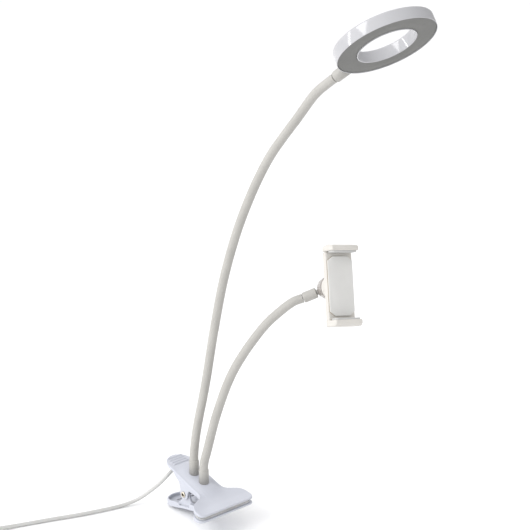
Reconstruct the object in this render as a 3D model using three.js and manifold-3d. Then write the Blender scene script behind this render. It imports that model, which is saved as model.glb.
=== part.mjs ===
// Clip-on lamp: a spring clip carries two goosenecks, one with a ring lamp and one with a phone clamp.
// Millimetres. +X runs along the clip from its handles to its jaws, +Y along the pivot pin, +Z up.
// The origin is the middle of the upper jaw pad's flat underside, the face that sits on a table top.
import * as THREE from 'three';
import { mergeVertices } from 'three/addons/utils/BufferGeometryUtils.js';
import Module from 'manifold-3d';

const wasm = await Module();
wasm.setup();

// ---------- driving dimensions ----------
const GAP = 0.3;

const PIVOT_X = -42;
const CLIP_HALF_WIDTH = 13.5;
const JAW_HALF_WIDTH = 31.5;
const JAW_FRONT = 9.6;
const LEAF_END = -64.5;
const CHEEK_INNER = 11.3;
const EAR_INNER = 8.7;
const EAR_OUTER = 10.9;
const CHEEK_RADIUS = 5.8;
const RIVET_RADIUS = 2.1;
const JAW_FLOOR = 1.9;
const PAD_THICKNESS = 1.6;
const FLOOR_Z = -24;
const CROWN_HEIGHT = 2.9;
const CROWN_HALF_WIDTH = 12.4;
const CROWN_START = -62;
const CROWN_END = -6;
const LEAF_RIM = 1.8;
const PAD_INSET = 2;
const PAD_REAR = -10.5;
const SPRING_RADIUS = 4;
const SPRING_WIRE = 0.65;
const SPRING_TURNS = 3;
const LEAD_RADIUS = 0.9;

const NECK_RADIUS = 4.2;
const SLEEVE_RADIUS = 4.75;
const STUD_RADIUS = 2.6;
const LONG_BASE_X = -42.4;
const SHORT_BASE_X = -27.3;
const LINK_RADIUS = 3.4;
const LINK_HALF_GAP = 1.7;

const RING_CENTRE = new THREE.Vector3(109.3, 87.3, 436.3);
const RING_FACE = new THREE.Vector3(0.602, -0.071, -0.795);
const RING_ARM = new THREE.Vector3(0.793, 0.167, 0.586);
const RING_OUTER = 43.5;
const RING_INNER = 25.1;
const RING_HALF = 5.45;
const RING_WALL = 1.6;
const RING_OUTER_LIP = 0.6;
const RING_INNER_LIP = 1;
const RING_STEP = 3.3;
const LED_COUNT = 16;
const LED_CIRCLE = 34.4;
const LENS_FRONT = 5.1;
const RING_SLEEVE_END = 58.7;

const BALL_CENTRE = new THREE.Vector3(45.7, 87.9, 208);
const BALL_ARM = new THREE.Vector3(0.597, 0.698, 0.395);
const HOLDER_FACE = new THREE.Vector3(0.923, -0.141, 0.358);
const HOLDER_UP = new THREE.Vector3(-0.326, 0.208, 0.922);
const BALL_RADIUS = 6.3;
const CUP_RADIUS = 7.6;
const HOLDER_HALF_WIDTH = 14.2;
const PLATE_HALF_WIDTH = 13.9;
const HOLDER_BACK = 15.8;
const PLATE_BACK = 16.2;
const HOLDER_FRONT = 21.4;
const JAW_REACH = 33.2;
const HOLDER_TOP = 36.8;
const JAW_UNDERSIDE = 30.8;
const FOOT_TOP = -30;
const HOLDER_BOTTOM = -36.2;
const PAD_HALF_WIDTH = 13;
const PAD_TOP = 26.6;
const PAD_BOTTOM = -26.5;
const TONGUE_BOTTOM = -7.2;
const TONGUE_HALF_WIDTH = 7.8;
const JAW_RUBBER = 1.1;

const CORD_RADIUS = 1.75;
const COIL_CENTRE = [-187, -231.5];
const COIL_RADIUS = 21;
const COIL_HALF_WIDTH = 8.75;
const COIL_HEIGHT = 7;
const COIL_LIFT = 1;
const PLUG_START = new THREE.Vector3(-200, -198, FLOOR_Z + 3.9);
const PLUG_HEADING = new THREE.Vector3(0.5, 0.866, 0);
const SWITCH_LENGTH = 46;
const SWITCH_RADIUS = 7;
const SWITCH_HEADING = new THREE.Vector3(-0.325, -0.946, 0).normalize();
const SWITCH_START = new THREE.Vector3(-137.4, -173.8, FLOOR_Z);
const BUTTON_OFFSETS = [-11, 0, 11];
const BUTTON_RADIUS = 2.6;

// ---------- materials ----------
const material = (color, roughness, metalness = 0) =>
  new THREE.MeshStandardMaterial({ color, roughness, metalness });
const clipPlastic = material(0xd5d9e4, 0.42);
const neckCoat = material(0xd6d4ce, 0.55);
const glossWhite = material(0xe9e9ec, 0.2);
const frosted = material(0x8b8b87, 0.6);
const holderPlastic = material(0xe6e2da, 0.45);
const padPlastic = material(0xdddcd9, 0.4);
const rubber = material(0xcfcfcb, 0.8);
const nickel = material(0xb9ad93, 0.3, 1);
const steel = material(0x9c9c9e, 0.35, 1);
const boardWhite = material(0xf0f0ea, 0.6);
const cordPlastic = material(0xe2e1de, 0.5);
const buttonGrey = material(0xbfc2c6, 0.5);

// ---------- solids ----------
function closed(geometry) {
  const bare = geometry.clone();
  bare.deleteAttribute('normal');
  bare.deleteAttribute('uv');
  const merged = mergeVertices(bare, 1e-4);
  const kept = [];
  const index = merged.index.array;
  for (let i = 0; i < index.length; i += 3) {
    const [a, b, c] = [index[i], index[i + 1], index[i + 2]];
    if (a !== b && b !== c && c !== a) kept.push(a, b, c);
  }
  merged.setIndex(kept);
  return merged;
}

function solid(geometry) {
  const clean = closed(geometry);
  return new wasm.Manifold(new wasm.Mesh({
    numProp: 3,
    vertProperties: new Float32Array(clean.attributes.position.array),
    triVerts: new Uint32Array(clean.index.array),
  }));
}

function fromSolid(manifold) {
  const mesh = manifold.getMesh();
  const geometry = new THREE.BufferGeometry();
  geometry.setAttribute('position', new THREE.BufferAttribute(mesh.vertProperties, 3));
  geometry.setIndex(new THREE.BufferAttribute(mesh.triVerts, 1));
  return geometry;
}

const join = (...geometries) =>
  fromSolid(geometries.map(solid).reduce((sum, next) => sum.add(next)));
const cut = (geometry, ...tools) =>
  fromSolid(tools.map(solid).reduce((rest, tool) => rest.subtract(tool), solid(geometry)));
const common = (a, b) => fromSolid(solid(a).intersect(solid(b)));

function polygon(points) {
  return new THREE.Shape(points.map(([x, y]) => new THREE.Vector2(x, y)));
}

function alongZ(shape, z0, z1, curveSegments = 6) {
  const options = { depth: z1 - z0, bevelEnabled: false, curveSegments };
  return new THREE.ExtrudeGeometry(shape, options).translate(0, 0, z0);
}

function alongY(shape, y0, y1, curveSegments = 8) {
  const options = { depth: y1 - y0, bevelEnabled: false, curveSegments };
  return new THREE.ExtrudeGeometry(shape, options).rotateX(Math.PI / 2).translate(0, y1, 0);
}

function box(x0, x1, y0, y1, z0, z1) {
  const geometry = new THREE.BoxGeometry(x1 - x0, y1 - y0, z1 - z0);
  return geometry.translate((x0 + x1) / 2, (y0 + y1) / 2, (z0 + z1) / 2);
}

// A cylinder standing along +Z from z0 to z1.
function post(radius, z0, z1, x = 0, y = 0, sides = 24) {
  const geometry = new THREE.CylinderGeometry(radius, radius, z1 - z0, sides);
  return geometry.rotateX(Math.PI / 2).translate(x, y, (z0 + z1) / 2);
}

// A cylinder lying along Y.
function pin(radius, y0, y1, x, z, sides = 20) {
  return new THREE.CylinderGeometry(radius, radius, y1 - y0, sides).translate(x, (y0 + y1) / 2, z);
}

// A turned piece: the profile's pairs are radius and height along +Z.
function turned(profile, segments = 32) {
  const points = profile.map(([r, z]) => new THREE.Vector2(r, z));
  return new THREE.LatheGeometry(points, segments).rotateX(Math.PI / 2);
}

// The profile of a round ring has to close on itself.
const turnedRing = (profile, segments) => turned([...profile, profile[0]], segments);

// Profile points of a ball surface; angles in degrees from +Z.
function ballArc(radius, from, to, steps = 8) {
  const points = [];
  for (let i = 0; i <= steps; i += 1) {
    const angle = THREE.MathUtils.degToRad(from + ((to - from) * i) / steps);
    points.push([Math.abs(angle) < 1e-9 ? 0 : radius * Math.sin(angle), radius * Math.cos(angle)]);
  }
  return points;
}

function tube(curve, radius, steps, sides = 8) {
  const section = new THREE.Shape();
  for (let i = 0; i < sides; i += 1) {
    const angle = (2 * Math.PI * i) / sides;
    const [x, y] = [radius * Math.cos(angle), radius * Math.sin(angle)];
    if (i) section.lineTo(x, y);
    else section.moveTo(x, y);
  }
  section.closePath();
  return new THREE.ExtrudeGeometry(section, { steps, extrudePath: curve, bevelEnabled: false });
}

const curveThrough = (points) =>
  new THREE.CatmullRomCurve3(points.map((p) => new THREE.Vector3(...p)), false, 'centripetal');

// ---------- assembly helpers ----------
const lamp = new THREE.Group();

function add(name, geometry, look, parent = lamp) {
  const ready = closed(geometry);
  ready.computeVertexNormals();
  const mesh = new THREE.Mesh(ready, look);
  mesh.name = name;
  parent.add(mesh);
  return mesh;
}

// A group whose +Z is "face" and whose +X is nearest to "across".
function framed(origin, face, across) {
  const z = face.clone().normalize();
  const x = across.clone().addScaledVector(z, -across.dot(z)).normalize();
  const y = z.clone().cross(x);
  const group = new THREE.Group();
  group.setRotationFromMatrix(new THREE.Matrix4().makeBasis(x, y, z));
  group.position.copy(origin);
  lamp.add(group);
  return group;
}

// ---------- spring clip ----------
// Heights of the upper leaf's top and underside along X; the lower half mirrors them.
const LEAF_TOP = [[-80, 24], [-66, 22], [-57, 19.8], [-42.4, 15.6], [-27.3, 12], [-15, 9.2], [0, 5.4]];
const LEAF_UNDER = [[-15, 6.4], [-27.3, 9.2], [-42.4, 12.8], [-57, 17.1], [-66, 19.3], [-80, 21.3]];
const JAW_NOSE = [[JAW_FRONT + 1, 3.5], [JAW_FRONT + 1, JAW_FLOOR], [-11.5, JAW_FLOOR], [-14, 4.4]];

const flip = (points, side) => points.map(([x, z]) => [x, side * z]);

function clipOutline(inset = 0) {
  const half = CLIP_HALF_WIDTH - inset;
  const jaw = JAW_HALF_WIDTH - inset;
  const front = JAW_FRONT - inset;
  const outline = new THREE.Shape();
  outline.moveTo(front, -jaw + 6);
  outline.lineTo(front, jaw - 6);
  outline.quadraticCurveTo(front, jaw, front - 6, jaw);
  outline.quadraticCurveTo(-5.5, jaw, -9.3, jaw - 6.5);
  outline.bezierCurveTo(-12.2, 20, -12.6, half, -20, half);
  outline.lineTo(LEAF_END, half);
  outline.absarc(LEAF_END, 0, half, Math.PI / 2, 1.5 * Math.PI, false);
  outline.lineTo(-20, -half);
  outline.bezierCurveTo(-12.6, -half, -12.2, -20, -9.3, -jaw + 6.5);
  outline.quadraticCurveTo(-5.5, -jaw, front - 6, -jaw);
  outline.quadraticCurveTo(front, -jaw, front, -jaw + 6);
  return outline;
}

function leaf(side) {
  const profile = polygon(flip([...LEAF_TOP, ...JAW_NOSE, ...LEAF_UNDER], side));
  const slab = alongY(profile, -JAW_HALF_WIDTH - 1, JAW_HALF_WIDTH + 1);
  return common(slab, alongZ(clipOutline(), -30, 30));
}

function leafTopAt(x) {
  const last = LEAF_TOP.length - 2;
  const i = Math.min(last, Math.max(0, LEAF_TOP.findIndex(([edge]) => edge > x) - 1));
  const [[x0, z0], [x1, z1]] = [LEAF_TOP[i], LEAF_TOP[i + 1]];
  return z0 + ((z1 - z0) * (x - x0)) / (x1 - x0);
}

// Between the handle and the jaws the leaves swell into a crown across their width.
function crownRise(x) {
  const [rear, front] = [x - CROWN_START, CROWN_END - x];
  return CROWN_HEIGHT * THREE.MathUtils.smoothstep(rear, 0, 14) * THREE.MathUtils.smoothstep(front, 0, 16);
}

function crown(side) {
  const geometry = new THREE.BoxGeometry(CROWN_END - CROWN_START, 2 * CROWN_HALF_WIDTH, 2, 14, 8, 1);
  geometry.translate((CROWN_START + CROWN_END) / 2, 0, 0);
  const place = geometry.attributes.position;
  for (let i = 0; i < place.count; i += 1) {
    const [x, y] = [place.getX(i), place.getY(i)];
    const swell = crownRise(x) * (1 - (y / CROWN_HALF_WIDTH) ** 2) - 0.05;
    const height = leafTopAt(x) + (place.getZ(i) > 0 ? swell : -1);
    place.setZ(i, height);
  }
  return side > 0 ? geometry : geometry.rotateX(Math.PI);
}

const WALL_CREST = [[-8, 6.5], [-15, 8.2], [-27.3, 11], [-42.4, 14.5], [-57, 18.6], [-60, 19.6]];

// A side wall reaches from the leaf down round the pivot and forward to the jaw.
function sideWall(side, y0, y1) {
  const rear = [[-58.5, 17.2], [-49, 9.5], [-47.9, 3]];
  const round = [];
  for (let i = 0; i <= 8; i += 1) {
    const angle = THREE.MathUtils.degToRad(165 + (190 * i) / 8);
    round.push([PIVOT_X + CHEEK_RADIUS * Math.cos(angle), CHEEK_RADIUS * Math.sin(angle)]);
  }
  const window = [[-35.6, 3.5], [-33.6, 6.2], [-22, 5.4], [-14.5, 3.2], [-12.5, JAW_FLOOR],
    [-8, JAW_FLOOR]];
  return alongY(polygon(flip([...WALL_CREST, ...rear, ...round, ...window], side)), y0, y1);
}

// The lower half keeps only the wall beside its jaw, so its ears can turn inside the cheeks.
function jawWall(side, y0, y1) {
  const outline = [[-8, 6.5], [-15, 8.2], [-27.3, 11], [-33.6, 12.2], [-33.6, 6.6], [-22, 5.4],
    [-14.5, 3.2], [-12.5, JAW_FLOOR], [-8, JAW_FLOOR]];
  return alongY(polygon(flip(outline, side)), y0, y1);
}

function gripRidges() {
  return [-74, -70.5, -67, -63.5].map((x) => {
    const rise = 22 + ((x + 66) * (24 - 22)) / -14;
    return box(x - 0.6, x + 0.6, -8, 8, rise - 1.2, rise + 0.5);
  });
}

function leafRim(side) {
  const ring = alongZ(clipOutline(), -30, 30);
  const hollow = alongZ(clipOutline(LEAF_RIM), -31, 31);
  const band = polygon(flip([[-80, 22.5], [-66, 20.6], [-57, 18.4], [-50, 16.4], [-50, 13.5],
    [-57, 13.6], [-66, 15.8], [-80, 17.8]], side));
  return common(cut(ring, hollow), alongY(band, -20, 20));
}

function buildClip() {
  const pivotHole = pin(RIVET_RADIUS + GAP, -20, 20, PIVOT_X, 0);
  const studHole = (x) => post(STUD_RADIUS + GAP, 2, 24, x);
  const upper = join(leaf(1), crown(1), sideWall(1, CHEEK_INNER, CLIP_HALF_WIDTH),
    sideWall(1, -CLIP_HALF_WIDTH, -CHEEK_INNER), ...gripRidges());
  add('clip_upper_half', cut(upper, pivotHole, studHole(LONG_BASE_X), studHole(SHORT_BASE_X)), clipPlastic);

  const lower = join(leaf(-1), crown(-1), leafRim(-1),
    sideWall(-1, EAR_INNER, EAR_OUTER), sideWall(-1, -EAR_OUTER, -EAR_INNER),
    jawWall(-1, CHEEK_INNER, CLIP_HALF_WIDTH), jawWall(-1, -CLIP_HALF_WIDTH, -CHEEK_INNER));
  add('clip_lower_half', cut(lower, pivotHole), clipPlastic);

  const front = box(PAD_REAR, JAW_FRONT, -40, 40, -5, 5);
  const pad = common(alongZ(clipOutline(PAD_INSET), 0, PAD_THICKNESS), front);
  add('upper_jaw_pad', pad, rubber);
  add('lower_jaw_pad', pad.clone().translate(0, 0, -PAD_THICKNESS - GAP), rubber);
}

function buildRivet() {
  const end = CLIP_HALF_WIDTH + GAP;
  const rivet = turnedRing([[1.3, -end - 0.9], [3.3, -end - 0.5], [3.3, -end], [RIVET_RADIUS, -end],
    [RIVET_RADIUS, end], [3.3, end], [3.3, end + 0.5], [1.3, end + 0.9]], 20);
  add('pivot_rivet', rivet.rotateX(Math.PI / 2).translate(PIVOT_X, 0, 0), nickel);
}

function buildTorsionSpring() {
  const leaving = THREE.MathUtils.degToRad(59);
  const sweep = 2 * leaving + 2 * Math.PI * SPRING_TURNS;
  const turnSteps = 34;
  const points = [[-64, 4.4, 17.4], [-52, 4.4, 10]];
  for (let i = 0; i <= turnSteps; i += 1) {
    const angle = leaving - (sweep * i) / turnSteps;
    const y = 4 - (8 * i) / turnSteps;
    points.push([PIVOT_X + SPRING_RADIUS * Math.cos(angle), y, SPRING_RADIUS * Math.sin(angle)]);
  }
  points.push([-52, -4.4, -10], [-64, -4.4, -17.4]);
  add('torsion_spring', tube(curveThrough(points), SPRING_WIRE, 84, 5), steel);
}

// ---------- gooseneck bases ----------
function baseSleeve(name, x, top, studEnd) {
  const lift = crownRise(x) + GAP;
  const [rear, front] = [x - 9, x + 9];
  const below = polygon([[rear, -5], [rear, leafTopAt(rear) + lift], [front, leafTopAt(front) + lift],
    [front, -5]]);
  const shell = turned([[0, -2], [SLEEVE_RADIUS, -2], [SLEEVE_RADIUS, top - 0.8], [SLEEVE_RADIUS - 0.6, top],
    [0, top]], 24).translate(x, 0, 0);
  const sleeve = cut(shell, alongY(below, -12, 12));
  add(name, join(sleeve, post(STUD_RADIUS, studEnd, top - 4, x)), neckCoat);
}

function hexNut(z0, z1, x) {
  return cut(post(5, z0, z1, x, 0, 6), post(STUD_RADIUS + GAP, z0 - 1, z1 + 1, x));
}

function buildBases() {
  baseSleeve('long_base_sleeve', LONG_BASE_X, LONG_PATH[0][2] - 2 * GAP, 7.6);
  baseSleeve('short_base_sleeve', SHORT_BASE_X, SHORT_PATH[0][2] - 2 * GAP, 4.4);
  add('long_base_nut', hexNut(8.1, 11.0, LONG_BASE_X), steel);
  add('short_base_nut', hexNut(4.9, 7.6, SHORT_BASE_X), steel);
}

// ---------- goosenecks ----------
const LONG_PATH = [[-42.4, 0, 31], [-42.3, 0.3, 40], [-40.6, 2.4, 62], [-34.6, 9.2, 110], [-28.8, 16.2, 166],
  [-21.9, 24.3, 220], [-11.8, 36.3, 272.5], [2.9, 53.6, 323.7], [24.5, 69.5, 363], [42, 73.8, 385.6],
  [55.2, 75.85, 396.25], [62.3, 77.35, 401.5]];
const SHORT_PATH = [[-27.3, 0, 27], [-27.1, 0.4, 34], [-24.9, 2.9, 48], [-18.5, 10.4, 86.8],
  [-8.4, 22.4, 128.9], [8.4, 42.7, 169.8], [17.2, 53.8, 184.3], [26, 64.5, 195.2], [31.2, 71, 198.4]];
const LONG_FLEX = [0.06, 0.25, 0.44, 0.63, 0.82];
const SHORT_FLEX = [0.1, 0.34, 0.6, 0.85];

class Stretch extends THREE.Curve {
  constructor(curve, from, to) {
    super();
    Object.assign(this, { curve, from, to });
  }

  getPoint(t) {
    return this.curve.getPointAt(this.from + (this.to - this.from) * t);
  }
}

// A gooseneck is a chain of stiff lengths that bend at ball links.
function buildNeck(prefix, path, flex) {
  const curve = curveThrough(path);
  const length = curve.getLength();
  const ends = [0, ...flex, 1];
  for (let i = 0; i + 1 < ends.length; i += 1) {
    const from = ends[i] + (i ? LINK_HALF_GAP / length : 0);
    const to = ends[i + 1] - (i + 2 < ends.length ? LINK_HALF_GAP / length : 0);
    const steps = Math.max(3, Math.round(((to - from) * length) / 13));
    let piece = tube(new Stretch(curve, from, to), NECK_RADIUS, steps, 12);
    for (const u of [ends[i], ends[i + 1]]) {
      if (u > 0 && u < 1) {
        const centre = curve.getPointAt(u);
        const dish = new THREE.SphereGeometry(LINK_RADIUS + GAP, 10, 7).translate(...centre.toArray());
        piece = cut(piece, dish);
      }
    }
    add(`${prefix}_neck_${i + 1}`, piece, neckCoat);
  }
  flex.forEach((u, i) => {
    const link = new THREE.SphereGeometry(LINK_RADIUS, 10, 7).translate(...curve.getPointAt(u).toArray());
    add(`${prefix}_neck_link_${i + 1}`, link, steel);
  });
}

// ---------- ring lamp ----------
function buildRing() {
  const ring = framed(RING_CENTRE, RING_FACE, RING_ARM);
  const inner = RING_INNER + RING_WALL;
  const outer = RING_OUTER - RING_WALL;
  const channel = turnedRing([[RING_INNER, -RING_HALF + 1], [RING_INNER + 1, -RING_HALF],
    [RING_OUTER - 1, -RING_HALF], [RING_OUTER, -RING_HALF + 1], [RING_OUTER, RING_HALF],
    [RING_OUTER - RING_OUTER_LIP, RING_HALF], [RING_OUTER - RING_OUTER_LIP, RING_STEP], [outer, RING_STEP],
    [outer, -RING_HALF + RING_WALL], [inner, -RING_HALF + RING_WALL], [inner, RING_STEP],
    [RING_INNER + RING_INNER_LIP, RING_STEP], [RING_INNER + RING_INNER_LIP, RING_HALF],
    [RING_INNER, RING_HALF]], 48);
  const wireHole = new THREE.CylinderGeometry(2.7, 2.7, 8, 16).rotateZ(Math.PI / 2);
  wireHole.translate(-RING_OUTER, 0, 0);
  add('ring_housing', cut(channel, wireHole), glossWhite, ring);
  const lensInner = RING_INNER + RING_INNER_LIP + GAP;
  const lensOuter = RING_OUTER - RING_OUTER_LIP - GAP;
  const lensBack = RING_STEP + GAP;
  add('ring_diffuser', turnedRing([[lensInner, lensBack], [lensOuter, lensBack], [lensOuter, LENS_FRONT],
    [lensInner, LENS_FRONT]], 48), frosted, ring);

  const board = turnedRing([[29, -3.4], [39.2, -3.4], [39.2, -2.2], [29, -2.2]], 36);
  const leds = [];
  for (let i = 0; i < LED_COUNT; i += 1) {
    const led = box(LED_CIRCLE - 1.5, LED_CIRCLE + 1.5, -1.4, 1.4, -2.4, -1.5);
    leds.push(led.rotateZ((2 * Math.PI * i) / LED_COUNT));
  }
  add('led_board', join(board, ...leds), boardWhite, ring);

  const sleeve = turned([[0, 39.7], [2.4, 39.7], [2.4, RING_OUTER + GAP], [5.1, RING_OUTER + GAP],
    [5.1, RING_SLEEVE_END - 0.7], [4.5, RING_SLEEVE_END], [0, RING_SLEEVE_END]], 24);
  add('ring_sleeve', sleeve.rotateY(-Math.PI / 2), neckCoat, ring);
  const nut = cut(post(3.7, 0, 1.4, 0, 0, 6), post(2.7, -1, 3));
  add('ring_sleeve_nut', nut.rotateY(-Math.PI / 2).translate(-39.9, 0, 0), steel, ring);
}

// ---------- phone clamp ----------
function buildBallStud() {
  const stud = framed(BALL_CENTRE, BALL_ARM.clone().negate(), new THREE.Vector3(0, 0, 1));
  const ball = ballArc(BALL_RADIUS, 180, 22.4, 7);
  const shank = [[2.4, 10.5], [SLEEVE_RADIUS, 11], [SLEEVE_RADIUS, 23.6], [0, 23.6]];
  add('holder_ball_stud', turned([...ball, ...shank], 18), neckCoat, stud);
}

function buildHolder() {
  const holder = framed(BALL_CENTRE, HOLDER_FACE, HOLDER_UP.clone().cross(HOLDER_FACE));
  add('ball_seat', turned([...ballArc(6.6, 0, 48, 3), ...ballArc(7.3, 48, 0, 3)], 16), rubber, holder);
  add('ball_liner', turnedRing([...ballArc(6.6, 70, 103, 3), ...ballArc(7.3, 103, 70, 3)], 18), rubber, holder);
  add('ball_socket', turned([...ballArc(CUP_RADIUS, 0, 82, 5), [8.8, 1.06], [8.8, 6.9], [11.2, 6.9],
    [11.2, HOLDER_BACK - GAP], [0, HOLDER_BACK - GAP]], 20), holderPlastic, holder);
  add('ball_ring_nut', turnedRing([[9.1, 6.6], [9.1, 0.75], ...ballArc(CUP_RADIUS, 84.3, 104, 3), [8.9, -3],
    [9.6, -3], [11.3, 5.8], [11.3, 6.6]], 20), glossWhite, holder);

  const plateTop = JAW_UNDERSIDE - GAP;
  const back = box(-PLATE_HALF_WIDTH, PLATE_HALF_WIDTH, FOOT_TOP - 1, plateTop, PLATE_BACK, HOLDER_FRONT);
  const foot = box(-HOLDER_HALF_WIDTH, HOLDER_HALF_WIDTH, HOLDER_BOTTOM, FOOT_TOP, HOLDER_BACK, JAW_REACH);
  const slot = TONGUE_HALF_WIDTH + 0.4;
  const guide = box(-slot, slot, FOOT_TOP + 1, JAW_UNDERSIDE + 1, 17.6, 20.2);
  add('holder_back', cut(join(back, foot), guide), holderPlastic, holder);
  const bar = box(-HOLDER_HALF_WIDTH, HOLDER_HALF_WIDTH, JAW_UNDERSIDE, HOLDER_TOP, HOLDER_BACK, JAW_REACH);
  const tongue = box(-TONGUE_HALF_WIDTH, TONGUE_HALF_WIDTH, TONGUE_BOTTOM, JAW_UNDERSIDE + 0.5, 17.9, 19.9);
  add('sliding_jaw', join(bar, tongue), holderPlastic, holder);

  const [padSide, padCorner, padChamfer] = [PAD_HALF_WIDTH, PAD_HALF_WIDTH - 5.5, 4];
  const padShape = polygon([[-padSide, PAD_BOTTOM + padChamfer], [-padCorner, PAD_BOTTOM],
    [padCorner, PAD_BOTTOM], [padSide, PAD_BOTTOM + padChamfer], [padSide, PAD_TOP - padChamfer], [padCorner, PAD_TOP],
    [-padCorner, PAD_TOP], [-padSide, PAD_TOP - padChamfer]]);
  add('holder_front_pad', alongZ(padShape, HOLDER_FRONT + GAP, 22.9), padPlastic, holder);
  const onFoot = FOOT_TOP + GAP;
  add('lower_jaw_rubber', box(-12.5, 12.5, onFoot, onFoot + JAW_RUBBER, 23.2, 32), rubber, holder);
  add('upper_jaw_rubber', box(-12.5, 12.5, plateTop - JAW_RUBBER, plateTop, 23.2, 32), rubber, holder);

  const springPoints = [];
  const springSteps = 64;
  const coilRadius = 0.85;
  const springFoot = FOOT_TOP + 1 + 2 * GAP;
  const springRun = TONGUE_BOTTOM - 3 * GAP - springFoot;
  for (let i = 0; i <= springSteps; i += 1) {
    const angle = (2 * Math.PI * i) / 8;
    springPoints.push([coilRadius * Math.cos(angle), springFoot + (springRun * i) / springSteps,
      18.9 + coilRadius * Math.sin(angle)]);
  }
  add('clamp_spring', tube(curveThrough(springPoints), 0.3, springSteps, 4), steel, holder);
}

// ---------- cord, switch and plug ----------
const CORD_Z = FLOOR_Z + CORD_RADIUS;
const CORD_TO_SWITCH = [[-64.8, -6.6, 15.4], [-65.2, -8, 15.35], [-66.1, -11, 13.3], [-66.8, -15, 10],
  [-73.9, -18.8, 0.6], [-82.6, -24.6, -9.4], [-89.9, -31.6, -17.4], [-94.2, -40, -21], [-97, -50, CORD_Z],
  [-100.6, -65, CORD_Z], [-107.5, -88, CORD_Z], [-117.6, -115, CORD_Z], [-127, -142, CORD_Z],
  [-133, -161, CORD_Z + 0.8], [-137.3, -173.5, CORD_Z + 1.8]];

function buildCord() {
  const grommetDirection = new THREE.Vector3(-0.28, -0.96, -0.03).normalize();
  const grommetEnd = new THREE.Vector3(...CORD_TO_SWITCH[0]).addScaledVector(grommetDirection, -GAP);
  const grommet = framed(grommetEnd, grommetDirection, new THREE.Vector3(0, 0, 1));
  add('cord_grommet', turned([[0, -4.6], [2.4, -4.6], [2.4, -3], [2, 0], [0, 0]], 16), cordPlastic, grommet);
  const lead = curveThrough([[-63.2, -1.3, 15.5], [-62.4, 0.4, 15.2], [-58.5, 1.2, 13.2],
    [-51.5, -0.4, 8.8], [-46.5, -1.2, 6.3], [-43, -0.2, 6.1]]);
  add('inner_lead', tube(lead, LEAD_RADIUS, 10), cordPlastic);
  add('cord_lead', tube(curveThrough(CORD_TO_SWITCH), CORD_RADIUS, 46), cordPlastic);

  const [cx, cy] = COIL_CENTRE;
  const low = FLOOR_Z + COIL_LIFT;
  const top = low + COIL_HEIGHT;
  const near = COIL_RADIUS - COIL_HALF_WIDTH;
  const far = COIL_RADIUS + COIL_HALF_WIDTH;
  const coil = turnedRing([[near, low], [far, low], [far, top], [near, top]], 32);
  add('cord_coil', coil.translate(cx, cy, 0), cordPlastic);
  const middle = cy - COIL_RADIUS;
  const reach = COIL_HALF_WIDTH + 0.6;
  const tieHole = box(cx - 5, cx + 5, middle - reach, middle + reach, low - 0.2, top + 0.5);
  const outside = reach + 0.8;
  const tieBlock = box(cx - 3, cx + 3, middle - outside, middle + outside, FLOOR_Z + 0.1, top + 1.2);
  add('coil_tie', cut(tieBlock, tieHole), rubber);
  const toCoil = curveThrough([[-152.9, -218.2, CORD_Z + 1.8], [-154.4, -222.7, CORD_Z + 1.5],
    [-156, -227.2, CORD_Z + 1]]);
  add('cord_to_coil', tube(toCoil, CORD_RADIUS, 3), cordPlastic);
  const toPlug = curveThrough([[-204, -204.8, CORD_Z + 3.2], [-202.1, -201.6, CORD_Z + 2.6],
    [-200.15, -198.3, CORD_Z + 2.2]]);
  add('cord_to_plug', tube(toPlug, CORD_RADIUS, 3), cordPlastic);
}

function buildSwitch() {
  const frame = framed(SWITCH_START, new THREE.Vector3(0, 0, 1), SWITCH_HEADING);
  const outline = new THREE.Shape();
  outline.absarc(SWITCH_RADIUS, 0, SWITCH_RADIUS, Math.PI / 2, 1.5 * Math.PI, false);
  outline.absarc(SWITCH_LENGTH - SWITCH_RADIUS, 0, SWITCH_RADIUS, -Math.PI / 2, Math.PI / 2, false);
  const middle = SWITCH_LENGTH / 2;
  const wells = BUTTON_OFFSETS.map((x) => post(BUTTON_RADIUS + GAP, 5, 12, middle + x, 0, 16));
  add('switch_base', alongZ(outline, 0.1, 3.6, 6), cordPlastic, frame);
  add('switch_cover', cut(alongZ(outline, 3.9, 8.6, 6), ...wells), cordPlastic, frame);
  BUTTON_OFFSETS.forEach((x, i) => {
    add(`switch_button_${i + 1}`, post(BUTTON_RADIUS, 6.2, 9.5, middle + x, 0, 16), buttonGrey, frame);
  });
}

function buildPlug() {
  const plug = framed(PLUG_START, new THREE.Vector3(0, 0, 1), PLUG_HEADING);
  add('plug_body', box(0, 22, -7.5, 7.5, -3.8, 3.8), cordPlastic, plug);
  const shell = cut(box(22.3, 34.3, -6, 6, -2.25, 2.25), box(24, 35, -5.6, 5.6, -1.85, 1.85));
  add('plug_shell', shell, steel, plug);
}

buildClip();
buildRivet();
buildTorsionSpring();
buildBases();
buildNeck('long', LONG_PATH, LONG_FLEX);
buildNeck('short', SHORT_PATH, SHORT_FLEX);
buildRing();
buildBallStud();
buildHolder();
buildCord();
buildSwitch();
buildPlug();

export default lamp;
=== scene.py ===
# A clip-on ring lamp with a phone clamp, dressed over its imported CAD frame. Lengths are in metres.
import math

import bmesh
import bpy
from mathutils import Matrix, Vector


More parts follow.
